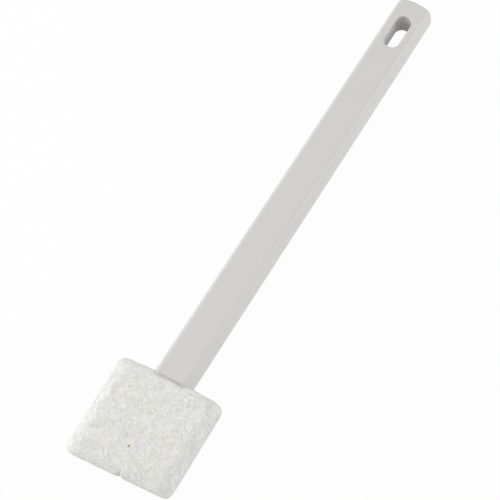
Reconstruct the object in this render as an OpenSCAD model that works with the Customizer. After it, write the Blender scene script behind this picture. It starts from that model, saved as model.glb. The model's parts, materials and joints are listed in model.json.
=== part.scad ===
// Sponge brush: a two-shell plastic handle with a hang slot, and a soft head.
// The head is foam on both faces of a stiff plate, inside a wrapped cover of non-woven fibre.
// It lies flat: +Y runs from the head to the handle's end and +Z is up, out of its front face.
// The origin is below the middle of the whole brush, on the surface that it lies on.

/* [Handle] */
// Width of the handle, at the line where its shells meet
handle_w = 21.8; // [18:0.1:26]
// Thickness of the handle, front face to back face
handle_t = 15; // [13:0.5:20]
// Length of the handle that stands out of the head
handle_reach = 268; // [180:1:360]
// Length of the handle that goes inside the head's cover
handle_insert = 5; // [3:0.5:8]
// Wall thickness of both shells
shell_wall = 1.8; // [1.4:0.1:2.4]
// Depth of the back shell, up to the line where the shells meet
back_depth = 5.5; // [4.5:0.1:6]
// Amount that each side of the handle leans in, up to its front face
side_draft = 0.8; // [0:0.1:1.2]
// Rounding of the front edges
front_round = 3; // [1:0.1:4]
// Rounding of the back edges
back_round = 3; // [0.5:0.1:3.5]
// Radius of the handle's arched end
end_arch_r = 30; // [20:1:80]
// Rounding of the arched end's two corners
end_corner_r = 4.5; // [1:0.1:6]

/* [Hang slot] */
// Width of the hang slot
slot_w = 8.8; // [6:0.1:10]
// Length of the hang slot
slot_l = 22.4; // [14:0.1:30]
// Plastic left between the slot and the handle's end
slot_margin = 13.2; // [8:0.1:20]
// Wall thickness round the slot
slot_wall = 1.6; // [1.2:0.1:2.2]

/* [Shell fixings] */
// Radius of the pins that stand on the back shell
pin_r = 1.5; // [1.2:0.1:1.8]
// Wall thickness of the bosses round the pins
boss_wall = 1.5; // [1:0.1:2]
// Gap all round a pin in its boss
pin_gap = 0.1; // [0.05:0.05:0.2]
// Number of pins between the plate's neck and the hang slot
long_pins = 4; // [2:1:6]
// Distance from the head to the first of those pins
first_pin_y = 62; // [50:1:80]
// Distance from the last of those pins to the hang slot
last_pin_margin = 14; // [10:1:30]
// Height of the back shell's lip inside the front shell
lip_h = 1.6; // [1:0.1:2.5]
// Thickness of that lip
lip_t = 1; // [0.8:0.1:1.2]
// Gap between the lip and the front shell
lip_gap = 0.15; // [0.1:0.05:0.3]
// Thickness of the front shell's cross ribs
rib_t = 1.2; // [0.8:0.1:2]

/* [Plate] */
// Thickness of the stiff plate
plate_t = 2.4; // [1.6:0.1:3.2]
// Width of the plate's blade
blade_w = 48; // [30:1:70]
// Length of the plate's blade
blade_l = 42; // [30:1:70]
// Rounding of the blade's corners
blade_corner_r = 6; // [2:0.5:10]
// Gap between the handle's end and the blade
blade_drop = 3; // [1:0.5:6]
// Width of the plate's neck
neck_w = 10; // [8.6:0.1:12]
// Length of the neck inside the handle
neck_in = 36; // [30:1:45]
// Distances of the neck's two holes from the handle's inner end
neck_hole_y = [10, 28];
// Gap round the neck, where it goes through the handle's end
neck_gap = 0.2; // [0.1:0.05:0.4]

/* [Head] */
// Width of the soft head
head_w = 60; // [46:1:90]
// Length of the soft head
head_l = 59; // [52:1:90]
// Turn of the soft head about the handle, as it was wrapped on, in degrees
head_turn = 1.75; // [-3:0.25:3]
// Thickness of the fibre cover
cover_t = 1.5; // [1:0.1:2.5]
// Rounding of the head's long sides, front to back
side_round = 7; // [4:0.5:8]
// Rounding of the head's top edge, front to back
top_round = 4; // [3:0.5:6]
// Rounding of the head's four corners
corner_round = 5; // [3:0.5:10]
// Thickness of the head's pinched lower edge
pinch_t = 5.5; // [5:0.5:12]
// Length over which the head thins towards that edge
pinch_l = 14; // [10:0.5:20]
// Thickness of each film of adhesive
tape_t = 0.4; // [0.2:0.1:0.8]
// Inset of the films from the edge of the blade
tape_inset = 2; // [1:0.5:5]
// Gap left between soft pieces and what lies beside them
soft_gap = 0.2; // [0.1:0.05:0.4]

/* [Back seam] */
// Width of the slit where the cover's two ends meet
seam_slit = 0.4; // [0.2:0.1:1]
// Width of the sunk channel along the seam
seam_w = 4; // [3:0.5:6]
// Depth of that channel
seam_depth = 0.8; // [0.7:0.05:0.9]
// Radius of the thread
thread_r = 0.35; // [0.2:0.05:0.35]
// Number of stitches across the seam
stitches = 9; // [5:1:15]
// Slant of each stitch, in degrees
stitch_slant = 22; // [0:1:35]
// Distance from the seam's ends to the outer stitches
stitch_margin = 5; // [3:0.5:8]

/* [Hidden] */
$fn = 64;
// A small overlap, so that cuts pass through the faces they open
cut = 1;
// How far a slanting edge reaches inside the circle that it runs into, so that they cross cleanly
bite = 0.02;
// How far a rib reaches into the walls that it stands on
rib_root = 0.2;
head_t = handle_t + 2 * cover_t;
mid_z = head_t / 2;
handle_z = mid_z - handle_t / 2;
part_z = handle_z + back_depth;
front_z = handle_z + handle_t;
slot_y = handle_reach - slot_margin - slot_l / 2;
slot_near_y = slot_y - slot_l / 2;
boss_r = pin_r + pin_gap + boss_wall;
inner_y = shell_wall - handle_insert;
cavity_inset = shell_wall + side_draft;
plate_low_z = mid_z - plate_t / 2;
plate_top_z = mid_z + plate_t / 2;
blade_y = -handle_insert - blade_drop;
neck_pin_y = [for (y = neck_hole_y) inner_y + y];
last_pin_y = slot_near_y - last_pin_margin;
pin_step = (last_pin_y - first_pin_y) / (long_pins - 1);
long_pin_y = [for (i = [0 : long_pins - 1]) first_pin_y + i * pin_step];
rib_y = [for (i = [0 : long_pins - 2]) first_pin_y + (i + 0.5) * pin_step];
// Middle of the whole brush, from the handle's end to the head's lower edge
centre_y = (handle_reach - head_l) / 2;

// The point where the line from p touches the circle round c, on the side given by turn
function touch(c, r, p, turn) =
    let (d = p - c, reach = norm(d), a = atan2(d[1], d[0]) + turn * acos(r / reach))
    c + r * [cos(a), sin(a)];

// Puts a piece into the brush's own frame
module place() {
    translate([0, -centre_y, 0]) children();
}

// Turns a piece of the soft head about the point where the handle leaves it
module turned() {
    rotate([0, 0, head_turn]) children();
}

// Extrudes an outline drawn in X and Z along Y
module along_y(y0, y1) {
    translate([0, y1, 0]) rotate([90, 0, 0]) linear_extrude(height = y1 - y0) children();
}

// Extrudes an outline drawn in Y and Z along X, centred
module along_x(width) {
    rotate([90, 0, 90]) translate([0, 0, -width / 2]) linear_extrude(height = width) children();
}

module along_z(z0, z1) {
    translate([0, 0, z0]) linear_extrude(height = z1 - z0) children();
}

// The handle's outline seen from the front, drawn inset from its widest line
module handle_plan(inset) {
    half_w = handle_w / 2 - inset;
    corner_r = max(end_corner_r - inset, 0.4);
    arch_r = end_arch_r - inset;
    arch_y = handle_reach - end_arch_r;
    corner_x = half_w - corner_r;
    corner_y = arch_y + sqrt(pow(arch_r - corner_r, 2) - pow(corner_x, 2));
    fan = 1.3 * arch_r / (corner_y - arch_y);
    low_y = inset - handle_insert;
    translate([-half_w, low_y]) square([2 * half_w, corner_y - low_y]);
    for (side = [-1, 1]) translate([side * corner_x, corner_y]) circle(corner_r);
    intersection() {
        translate([0, arch_y]) circle(arch_r, $fn = 180);
        polygon([
            [0, arch_y],
            [corner_x * fan, arch_y + (corner_y - arch_y) * fan],
            [-corner_x * fan, arch_y + (corner_y - arch_y) * fan],
        ]);
    }
}

// One side of the handle's section: from the shells' meeting line up or down to a rounded face
module rounded_flank(half, z0, z1, lean, r) {
    dir = sign(z1 - z0);
    polygon([[-half, z0], [half, z0], [half - lean, z1 - dir * r], [half - lean - r, z1],
             [-half + lean + r, z1], [-half + lean, z1 - dir * r]]);
    for (side = [-1, 1]) translate([side * (half - lean - r), z1 - dir * r]) circle(r);
}

// The solid outer form of one shell, from the meeting line to its rounded face
module shell_form(z1, lean, r) {
    long = 2 * handle_reach + 2 * handle_insert;
    low = min(part_z, z1);
    high = max(part_z, z1);
    intersection() {
        along_z(low, high) handle_plan(0);
        along_y(-handle_insert - cut, handle_reach + cut)
            intersection() {
                rounded_flank(handle_w / 2, part_z, z1, lean, r);
                translate([-handle_w, low]) square([2 * handle_w, high - low]);
            }
        // The arched end leans and rounds as the sides do
        along_x(2 * handle_w)
            translate([handle_reach - long / 2, 0]) intersection() {
                rounded_flank(long / 2, part_z, z1, lean, r);
                translate([-long, low]) square([2 * long, high - low]);
            }
    }
}

module slot_plan(grow) {
    r = slot_w / 2 + grow;
    straight = slot_l - slot_w;
    translate([-r, slot_y - straight / 2]) square([2 * r, straight]);
    for (side = [-1, 1]) translate([0, slot_y + side * straight / 2]) circle(r);
}

// The inner hollow of one shell, less the wall round the hang slot
module shell_hollow(z0, z1) {
    along_z(z0, z1) difference() {
        handle_plan(cavity_inset);
        slot_plan(slot_wall);
    }
}

module neck_window(gap) {
    wide = neck_w + 2 * gap;
    translate([-wide / 2, -handle_insert - cut, part_z - cut])
        cube([wide, shell_wall + side_draft + 2 * cut, plate_top_z + neck_gap - part_z + cut]);
}

module front_boss(y, z0) {
    translate([0, y, z0]) cylinder(h = front_z - shell_wall / 2 - z0, r = boss_r);
}

module handle_front_shell() {
    bore_top_z = front_z - shell_wall - cut;
    boss_low_z = part_z + lip_gap;
    clamp_z = plate_top_z + pin_gap;
    rib_half = handle_w / 2 - cavity_inset + rib_root;
    rib_low_z = part_z + lip_h + lip_gap;
    color("gainsboro") place() difference() {
        union() {
            difference() {
                shell_form(front_z, side_draft, front_round);
                shell_hollow(part_z - cut, front_z - shell_wall);
            }
            for (y = long_pin_y) front_boss(y, boss_low_z);
            for (y = neck_pin_y) front_boss(y, clamp_z);
            for (y = rib_y)
                translate([-rib_half, y - rib_t / 2, rib_low_z])
                    cube([2 * rib_half, rib_t, front_z - shell_wall + rib_root - rib_low_z]);
        }
        along_z(part_z - cut, front_z + cut) slot_plan(0);
        neck_window(neck_gap);
        for (y = concat(long_pin_y, neck_pin_y))
            translate([0, y, part_z - cut]) cylinder(h = bore_top_z - part_z + cut, r = pin_r + pin_gap);
    }
}

module handle_back_shell() {
    floor_z = handle_z + shell_wall;
    pin_top_z = front_z - shell_wall - 2 * cut;
    lip_inset = cavity_inset + lip_gap;
    color("gainsboro") place() difference() {
        union() {
            difference() {
                shell_form(handle_z, side_draft / 2, back_round);
                shell_hollow(floor_z, part_z + cut);
            }
            // The lip stands up inside the front shell, all round but for the end in the head
            difference() {
                along_z(floor_z - cut / 2, part_z + lip_h) difference() {
                    handle_plan(lip_inset);
                    handle_plan(lip_inset + lip_t);
                }
                translate([-handle_w / 2, -handle_insert - cut, part_z])
                    cube([handle_w, cavity_inset + lip_gap + lip_t + 2 * cut, lip_h + cut]);
            }
            // A tab closes the end's window up to the plate's neck
            translate([-neck_w / 2, -handle_insert, part_z - cut])
                cube([neck_w, shell_wall, plate_low_z - neck_gap - part_z + cut]);
            for (y = neck_pin_y)
                translate([0, y, floor_z - cut / 2])
                    cylinder(h = plate_low_z - pin_gap - floor_z + cut / 2, r = boss_r);
            for (y = concat(long_pin_y, neck_pin_y))
                translate([0, y, floor_z - cut / 2])
                    cylinder(h = pin_top_z - floor_z + cut / 2, r = pin_r);
        }
        along_z(handle_z - cut, part_z + cut) slot_plan(0);
    }
}

module blade_plan(inset) {
    w = blade_w - 2 * inset;
    l = blade_l - 2 * inset;
    r = blade_corner_r - inset;
    mid = blade_y - blade_l / 2;
    translate([-w / 2 + r, mid - l / 2]) square([w - 2 * r, l]);
    translate([-w / 2, mid - l / 2 + r]) square([w, l - 2 * r]);
    for (x = [-1, 1], y = [-1, 1])
        translate([x * (w / 2 - r), mid + y * (l / 2 - r)]) circle(r);
}

module paddle() {
    color("whitesmoke") place() difference() {
        along_z(plate_low_z, plate_top_z) {
            blade_plan(0);
            translate([-neck_w / 2, blade_y - blade_l / 2])
                square([neck_w, inner_y + neck_in - blade_y + blade_l / 2]);
        }
        for (y = neck_pin_y)
            translate([0, y, plate_low_z - cut]) cylinder(h = plate_t + 2 * cut, r = pin_r + pin_gap);
    }
}

module tape_front() {
    color("khaki") place() along_z(plate_top_z, plate_top_z + tape_t) blade_plan(tape_inset);
}

module tape_back() {
    color("khaki") place() along_z(plate_low_z - tape_t, plate_low_z) blade_plan(tape_inset);
}

// The head seen from the side: a rounded top edge and a pinched lower edge
module head_side(inset) {
    half = head_t / 2 - inset;
    r = top_round - inset;
    low_r = max(pinch_t / 2 - inset, 0.3);
    low = [low_r + inset - head_l, 0];
    shoulder = pinch_l - head_l;
    up = touch(low, low_r - bite, [shoulder, half], 1);
    translate([0, mid_z]) {
        polygon([low, [up[0], -up[1]], [shoulder, -half], [-inset - r, -half], [-inset, r - half],
                 [-inset, half - r], [-inset - r, half], [shoulder, half], up]);
        for (side = [-1, 1]) translate([-inset - r, side * (half - r)]) circle(r);
        translate(low) circle(low_r);
    }
}

// The head seen from the front
module head_plan(inset) {
    w = head_w / 2 - inset;
    r = corner_round - inset;
    y0 = inset - head_l;
    y1 = -inset;
    translate([r - w, y0]) square([2 * (w - r), y1 - y0]);
    translate([-w, y0 + r]) square([2 * w, y1 - y0 - 2 * r]);
    for (x = [r - w, w - r], y = [y0 + r, y1 - r]) translate([x, y]) circle(r);
}

// The head's section, seen along the handle
module head_section(inset) {
    w = head_w / 2 - inset;
    half = head_t / 2 - inset;
    r = side_round - inset;
    translate([r - w, mid_z - half]) square([2 * (w - r), 2 * half]);
    translate([-w, mid_z - half + r]) square([2 * w, 2 * (half - r)]);
    for (x = [r - w, w - r], z = [r - half, half - r]) translate([x, mid_z + z]) circle(r);
}

module head_form(inset) {
    intersection() {
        along_z(-cut, head_t + cut) head_plan(inset);
        along_x(head_w + 2 * cut) head_side(inset);
        along_y(-head_l - cut, cut) head_section(inset);
    }
}

// The space that the handle's end takes inside the head
module handle_space(gap) {
    wide = handle_w + 2 * gap;
    translate([-wide / 2, -handle_insert - gap, handle_z - gap])
        cube([wide, handle_insert + gap + cut, handle_t + 2 * gap]);
}

// The space that the plate and its films take between the foam slabs
module plate_space(gap) {
    high = plate_t + 2 * tape_t;
    along_z(mid_z - high / 2, mid_z + high / 2) {
        translate([-blade_w / 2 - gap, blade_y - blade_l - gap])
            square([blade_w + 2 * gap, blade_l + 2 * gap]);
        translate([-neck_w / 2 - gap, blade_y - cut]) square([neck_w + 2 * gap, -blade_y + cut]);
    }
}

// One slab of foam, from the middle of the head to its front or its back
module foam(side) {
    z0 = side > 0 ? mid_z + soft_gap / 2 : -cut;
    z1 = side > 0 ? head_t + cut : mid_z - soft_gap / 2;
    difference() {
        turned() intersection() {
            head_form(cover_t + soft_gap);
            translate([-head_w, -2 * head_l, z0]) cube([2 * head_w, 3 * head_l, z1 - z0]);
        }
        handle_space(soft_gap);
        plate_space(soft_gap);
    }
}

module foam_front() {
    color("lemonchiffon") place() foam(1);
}

module foam_back() {
    color("lemonchiffon") place() foam(-1);
}

module fibre_cover() {
    color("white") place() difference() {
        turned() difference() {
            head_form(0);
            head_form(cover_t);
            translate([-seam_w / 2, -head_l - cut, -cut])
                cube([seam_w, head_l + 2 * cut, seam_depth + cut]);
            translate([-seam_slit / 2, stitch_margin / 2 - head_l + pinch_l, -cut])
                cube([seam_slit, head_l - pinch_l + cut, cover_t + 2 * cut]);
        }
        handle_space(0);
    }
}

module seam_thread() {
    low_y = pinch_l - head_l + stitch_margin;
    high_y = -top_round - stitch_margin;
    step = (high_y - low_y) / (stitches - 1);
    long = seam_w - 4 * thread_r;
    color("ivory") place() turned()
        for (i = [0 : stitches - 1])
            translate([0, low_y + i * step, seam_depth - thread_r])
                rotate([0, 90, stitch_slant]) cylinder(h = long, r = thread_r, center = true, $fn = 24);
}

handle_front_shell();
handle_back_shell();
paddle();
tape_front();
tape_back();
foam_front();
foam_back();
fibre_cover();
seam_thread();
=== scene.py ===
# %% [markdown]
# # A sponge brush
# This lesson builds the look of a small sponge brush: a long moulded plastic handle with a hang
# slot, and a soft square head of foam in a wrapped cover of white non-woven fibre.
# The maker's model comes first. It is loaded as a fixed frame, and every piece made here is
# placed by it, in metres. +Y runs from the head to the handle's end and +Z is up.

# %% Load the frame
import json
import math

import bmesh
import bpy
import numpy as np
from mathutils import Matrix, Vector
from mathutils.noise import noise as noise_value

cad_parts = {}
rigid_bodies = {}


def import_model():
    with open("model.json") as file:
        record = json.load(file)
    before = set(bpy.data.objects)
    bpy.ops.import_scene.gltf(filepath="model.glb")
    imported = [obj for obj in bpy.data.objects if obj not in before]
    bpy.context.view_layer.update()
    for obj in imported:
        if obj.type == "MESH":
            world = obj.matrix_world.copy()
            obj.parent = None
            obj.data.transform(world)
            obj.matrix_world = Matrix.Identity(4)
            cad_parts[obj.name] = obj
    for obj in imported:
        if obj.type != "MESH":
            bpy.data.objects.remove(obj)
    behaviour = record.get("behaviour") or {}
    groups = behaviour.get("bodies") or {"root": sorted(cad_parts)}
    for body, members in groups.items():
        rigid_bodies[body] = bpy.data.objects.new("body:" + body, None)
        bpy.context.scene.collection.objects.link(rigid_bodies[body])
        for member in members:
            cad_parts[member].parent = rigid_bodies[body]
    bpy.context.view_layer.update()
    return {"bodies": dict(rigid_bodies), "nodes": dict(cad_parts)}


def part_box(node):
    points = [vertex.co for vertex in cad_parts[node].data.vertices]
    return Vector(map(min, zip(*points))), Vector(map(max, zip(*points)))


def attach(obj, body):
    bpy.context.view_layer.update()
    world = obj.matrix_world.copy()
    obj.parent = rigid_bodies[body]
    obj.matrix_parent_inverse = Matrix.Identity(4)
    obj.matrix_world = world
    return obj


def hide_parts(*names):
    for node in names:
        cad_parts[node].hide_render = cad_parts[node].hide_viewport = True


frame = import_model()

MM = 0.001
body = sorted(frame["bodies"])[0]
print("nodes:", sorted(frame["nodes"]))

# %% [markdown]
# The handle's and the head's sizes come from the boxes of the maker's solids. A few facts can't
# be read from a box, such as the small turn with which the cover was wrapped on, so they are
# named here.

# %% Sizes from the frame
front_lo, front_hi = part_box("handle_front_shell")
back_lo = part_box("handle_back_shell")[0]
cover_lo, cover_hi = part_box("fibre_cover")
plate_lo, plate_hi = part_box("paddle")
tape_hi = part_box("tape_front")[1]

handle_half_w = (front_hi.x - front_lo.x) / 2
handle_end_y = front_hi.y
handle_low_y = front_lo.y
meet_z = front_lo.z
handle_low_z = back_lo.z
handle_top_z = front_hi.z
mid_z = (cover_lo.z + cover_hi.z) / 2

handle_insert = 5 * MM
neck_y = handle_low_y + handle_insert
head_turn = math.radians(1.75)
head_l = 59 * MM
head_half_t = (cover_hi.z - cover_lo.z) / 2
cover_t = 1.5 * MM
print("handle half width %.1f mm, head from y = %.1f mm" % (handle_half_w / MM, neck_y / MM))

# %% A helper for every new object
def add_object(name, data):
    obj = bpy.data.objects.new(name, data)
    bpy.context.scene.collection.objects.link(obj)
    return obj


# %% [markdown]
# ## The camera
# The camera is far away and has a long lens, so that the handle hardly narrows. It stands about
# 61 degrees above the table and is turned about 30 degrees, so that the brush runs across the
# frame from corner to corner.

# %% Camera
camera_from_neck = Vector((0.27483, -0.39744, 1.03563))
camera_elevation = math.radians(61.49)
camera_turn = math.radians(29.96)
sensor_mm = 36
focal_lengths = 4.4232

camera_data = bpy.data.cameras.new("camera")
camera_data.sensor_width = sensor_mm
camera_data.lens = focal_lengths * sensor_mm
camera = add_object("camera", camera_data)
camera.location = Vector((0, neck_y, handle_low_z)) + camera_from_neck
camera.rotation_euler = (math.pi / 2 - camera_elevation, 0, camera_turn)
bpy.context.scene.camera = camera
print("lens %.0f mm, camera at" % camera_data.lens, tuple(round(v, 3) for v in camera.location))

# %% [markdown]
# ## Light and floor
# The brush lies in a white light tent with a large bright panel on each side, so that the walls
# of the handle are a little lighter than its face. The world gives the even part of the light,
# and two large area lamps are the panels.
# The camera, mirrors and glass see plain white in the world. The floor shows the camera mostly
# plain white too, with a share of real diffuse light, which keeps a faint shadow.

# %% World
def link(tree, a, b):
    tree.links.new(a, b)


def new_node(tree, kind, **values):
    node = tree.nodes.new(kind)
    for name, value in values.items():
        setattr(node, name, value)
    return node


def seen_directly(tree):
    """1 where the camera looks, straight or by a mirror or glass, and 0 for light that bounces."""
    path = new_node(tree, "ShaderNodeLightPath")
    some = new_node(tree, "ShaderNodeMath", operation="MAXIMUM")
    every = new_node(tree, "ShaderNodeMath", operation="MAXIMUM")
    link(tree, path.outputs["Is Camera Ray"], some.inputs[0])
    link(tree, path.outputs["Is Glossy Ray"], some.inputs[1])
    link(tree, some.outputs[0], every.inputs[0])
    link(tree, path.outputs["Is Transmission Ray"], every.inputs[1])
    return every.outputs[0]


def white_background(tree, strength):
    node = new_node(tree, "ShaderNodeBackground")
    node.inputs["Color"].default_value = (1, 1, 1, 1)
    node.inputs["Strength"].default_value = strength
    return node.outputs[0]


def mix_to_output(tree, factor, low, high, output_kind):
    """Sends out the low shader where factor is 0 and the high one where it is 1."""
    mix = new_node(tree, "ShaderNodeMixShader")
    output = new_node(tree, output_kind)
    link(tree, factor, mix.inputs["Fac"])
    link(tree, low, mix.inputs[1])
    link(tree, high, mix.inputs[2])
    link(tree, mix.outputs[0], output.inputs["Surface"])


world_level = 0.62
world = bpy.data.worlds.new("light_tent")
world.use_nodes = True
tree = world.node_tree
tree.nodes.clear()
mix_to_output(tree, seen_directly(tree), white_background(tree, world_level),
              white_background(tree, 1), "ShaderNodeOutputWorld")
bpy.context.scene.world = world
bpy.context.scene.view_settings.view_transform = "Standard"
print("world level", world_level)

# %% Lamps
view_right = Vector((math.cos(camera_turn), math.sin(camera_turn), 0))
view_back = Vector((-math.sin(camera_turn), math.cos(camera_turn), 0))


def area_lamp(name, right, back, up, size, watts):
    lamp = bpy.data.lights.new(name, "AREA")
    lamp.shape = "DISK"
    lamp.size = size
    lamp.energy = watts
    obj = add_object(name, lamp)
    obj.location = view_right * right + view_back * back + Vector((0, 0, up))
    obj.rotation_euler = (-obj.location).to_track_quat("-Z", "Y").to_euler()
    print(name, "of", watts, "watts")


area_lamp("left_panel", right=-1.1, back=0.1, up=0.55, size=1.0, watts=10.4)
area_lamp("right_panel", right=1.1, back=-0.1, up=0.5, size=1.0, watts=6.2)

# %% Floor
floor_share = 0.05
floor_half = 3.0
paper_white = 0.8

corners = [(x * floor_half, y * floor_half, 0) for x, y in ((-1, -1), (1, -1), (1, 1), (-1, 1))]
floor_mesh = bpy.data.meshes.new("floor")
floor_mesh.from_pydata(corners, [], [(0, 1, 2, 3)])
floor = add_object("floor", floor_mesh)
floor_material = bpy.data.materials.new("floor_paper")
floor_material.use_nodes = True
tree = floor_material.node_tree
tree.nodes.clear()
paper = new_node(tree, "ShaderNodeBsdfDiffuse")
paper.inputs["Color"].default_value = (paper_white, paper_white, paper_white, 1)
glow = new_node(tree, "ShaderNodeEmission")
glow.inputs["Strength"].default_value = 1
share = new_node(tree, "ShaderNodeMath", operation="MULTIPLY")
share.inputs[1].default_value = 1 - floor_share
link(tree, seen_directly(tree), share.inputs[0])
mix_to_output(tree, share.outputs[0], paper.outputs[0], glow.outputs[0], "ShaderNodeOutputMaterial")
floor_mesh.materials.append(floor_material)
print("floor paper", paper_white, "with", floor_share, "of its light real")

# %% [markdown]
# ## Effects shared by several finishes
# A node group is made once and used in each material with its own values. The groups here put
# out only values that change over the surface, such as a mask or a height. The shader itself
# stays in each material.
# - *moulded_grain* is the faint texture that a mould leaves on plastic, with a slow unevenness.
# - *fibre_web* is a web of fine crossing fibres: several stretched noises, each turned its own
#   way, of which the highest shows at every point. It also puts out a mask of the gaps between
#   the fibres, where the finishes paint shade.
# - *soft_mottle* is a slow change of tone, as in any soft material.
# - *pressed_mark* is 1 in a small round spot of the front face. The finishes colour it dark
#   olive there: painted shade in a small hollow, with a slight olive tint of its own.

# %% Group helpers
def new_group(name, inputs, outputs):
    group = bpy.data.node_groups.new(name, "ShaderNodeTree")
    for label, value in inputs.items():
        socket = group.interface.new_socket(label, in_out="INPUT", socket_type="NodeSocketFloat")
        socket.default_value = value
    for label in outputs:
        group.interface.new_socket(label, in_out="OUTPUT", socket_type="NodeSocketFloat")
    return group, group.nodes.new("NodeGroupInput"), group.nodes.new("NodeGroupOutput")


def object_place(tree):
    return new_node(tree, "ShaderNodeTexCoord").outputs["Object"]


def set_input(tree, socket, value):
    """Gives a socket a plain value, or links another node's output to it."""
    if isinstance(value, (int, float, tuple)):
        socket.default_value = value
    elif value is not None:
        link(tree, value, socket)


def math_node(tree, operation, a, b=None):
    node = new_node(tree, "ShaderNodeMath", operation=operation)
    set_input(tree, node.inputs[0], a)
    set_input(tree, node.inputs[1], b)
    return node.outputs[0]


def vector_math(tree, operation, a, b=None, scale=None):
    node = new_node(tree, "ShaderNodeVectorMath", operation=operation)
    set_input(tree, node.inputs[0], a)
    set_input(tree, node.inputs[1], b)
    if scale is not None:
        set_input(tree, node.inputs["Scale"], scale)
    return node.outputs[0]


def combine_xyz(tree, x=0, y=0, z=0):
    node = new_node(tree, "ShaderNodeCombineXYZ")
    for socket, value in zip(node.inputs, (x, y, z)):
        set_input(tree, socket, value)
    return node.outputs[0]


def noise(tree, place, scale, detail=2.0, roughness=0.5, output="Fac"):
    node = new_node(tree, "ShaderNodeTexNoise")
    link(tree, place, node.inputs["Vector"])
    set_input(tree, node.inputs["Scale"], scale)
    node.inputs["Detail"].default_value = detail
    node.inputs["Roughness"].default_value = roughness
    return node.outputs[output]


# %% Moulded grain
grain_share = 0.35

grain_group, group_in, group_out = new_group(
    "moulded_grain", {"Grain Scale": 2500, "Wave Scale": 60}, ["Height", "Variation"])
tree = grain_group
place = object_place(tree)
grain = noise(tree, place, group_in.outputs["Grain Scale"], 3, 0.6)
wave = noise(tree, place, group_in.outputs["Wave Scale"], 1, 0.4)
link(tree, math_node(tree, "ADD", math_node(tree, "MULTIPLY", grain, grain_share), wave),
     group_out.inputs["Height"])
link(tree, wave, group_out.inputs["Variation"])

# %% Fibre web
web_turns = [0, 31, 67, 98, 131, 159]
web_shift = Vector((0.1, 0.07, 0.03))
bend_scale = 140
bend_reach = 0.004
ridge_gain = 4
gap_scale = 700

web_group, group_in, group_out = new_group(
    "fibre_web", {"Across Scale": 900, "Stretch": 0.14, "Sharpness": 5}, ["Web", "Gaps"])
tree = web_group
place = object_place(tree)
bend = noise(tree, place, bend_scale, 1, output="Color")
bent = vector_math(tree, "ADD", place, vector_math(tree, "SCALE", bend, scale=bend_reach))
stretch = combine_xyz(tree, group_in.outputs["Stretch"], 1, 1)
web = None
for i, turn in enumerate(web_turns):
    turned = new_node(tree, "ShaderNodeMapping")
    turned.inputs["Rotation"].default_value = (0, 0, math.radians(turn))
    turned.inputs["Location"].default_value = web_shift * i
    link(tree, bent, turned.inputs["Vector"])
    scaled = vector_math(tree, "MULTIPLY", turned.outputs[0], stretch)
    strand = noise(tree, scaled, group_in.outputs["Across Scale"], 0)
    off_middle = math_node(tree, "ABSOLUTE", math_node(tree, "SUBTRACT", strand, 0.5))
    ridge = math_node(tree, "SUBTRACT", 1, math_node(tree, "MULTIPLY", off_middle, ridge_gain))
    ridge = math_node(tree, "POWER", math_node(tree, "MAXIMUM", ridge, 0),
                      group_in.outputs["Sharpness"])
    web = ridge if web is None else math_node(tree, "MAXIMUM", web, ridge)
link(tree, web, group_out.inputs["Web"])
# The gaps between the fibres: a mask for painted shade.
gap = math_node(tree, "SUBTRACT", 1, noise(tree, place, gap_scale, 2, 0.6))
link(tree, math_node(tree, "MULTIPLY", gap, math_node(tree, "SUBTRACT", 1, web)),
     group_out.inputs["Gaps"])
print("web of", len(web_turns), "directions")

# %% Soft mottle
mottle_group, group_in, group_out = new_group(
    "soft_mottle", {"Scale": 120, "Contrast": 1.6}, ["Tone"])
tree = mottle_group
cloud = noise(tree, object_place(tree), group_in.outputs["Scale"], 3, 0.55)
centred = math_node(tree, "SUBTRACT", cloud, 0.5)
contrasted = math_node(tree, "MULTIPLY", centred, group_in.outputs["Contrast"])
tone = new_node(tree, "ShaderNodeClamp")
link(tree, math_node(tree, "ADD", contrasted, 0.5), tone.inputs["Value"])
link(tree, tone.outputs[0], group_out.inputs["Tone"])

# %% Pressed mark
mark_outer = 1.15
mark_inner = 0.6

mark_group, group_in, group_out = new_group(
    "pressed_mark", {"X": 0, "Y": 0, "Low Z": 0, "Radius": 0.001}, ["Mask"])
tree = mark_group
apart = new_node(tree, "ShaderNodeSeparateXYZ")
link(tree, object_place(tree), apart.inputs[0])
across = math_node(tree, "SUBTRACT", apart.outputs["X"], group_in.outputs["X"])
along = math_node(tree, "SUBTRACT", apart.outputs["Y"], group_in.outputs["Y"])
distance = math_node(tree, "SQRT", math_node(
    tree, "ADD", math_node(tree, "MULTIPLY", across, across),
    math_node(tree, "MULTIPLY", along, along)))
near = math_node(tree, "DIVIDE", distance, group_in.outputs["Radius"])
fade = new_node(tree, "ShaderNodeMapRange", interpolation_type="SMOOTHSTEP")
fade.inputs["From Min"].default_value = mark_outer
fade.inputs["From Max"].default_value = mark_inner
link(tree, near, fade.inputs["Value"])
on_front = math_node(tree, "GREATER_THAN", apart.outputs["Z"], group_in.outputs["Low Z"])
link(tree, math_node(tree, "MULTIPLY", fade.outputs[0], on_front), group_out.inputs["Mask"])
print("groups:", [g.name for g in bpy.data.node_groups])

# %% [markdown]
# ## Finishes
# Each finish starts from a Principled shader. What changes over the surface, such as the colour
# and the bump, is linked in. What is the same everywhere is set on the shader's own socket.

# %% Finish helpers
def new_finish(name, **plain_values):
    material = bpy.data.materials.new(name)
    material.use_nodes = True
    tree = material.node_tree
    shader = tree.nodes["Principled BSDF"]
    for label, value in plain_values.items():
        shader.inputs[label.replace("_", " ")].default_value = value
    return material, tree, shader


def use_group(tree, group, **values):
    node = new_node(tree, "ShaderNodeGroup", node_tree=group)
    for label, value in values.items():
        node.inputs[label.replace("_", " ")].default_value = value
    return node.outputs


def between(tree, factor, low, high):
    """low where factor is 0 and high where it is 1."""
    node = new_node(tree, "ShaderNodeMapRange")
    link(tree, factor, node.inputs["Value"])
    node.inputs["To Min"].default_value = low
    node.inputs["To Max"].default_value = high
    return node.outputs[0]


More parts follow.
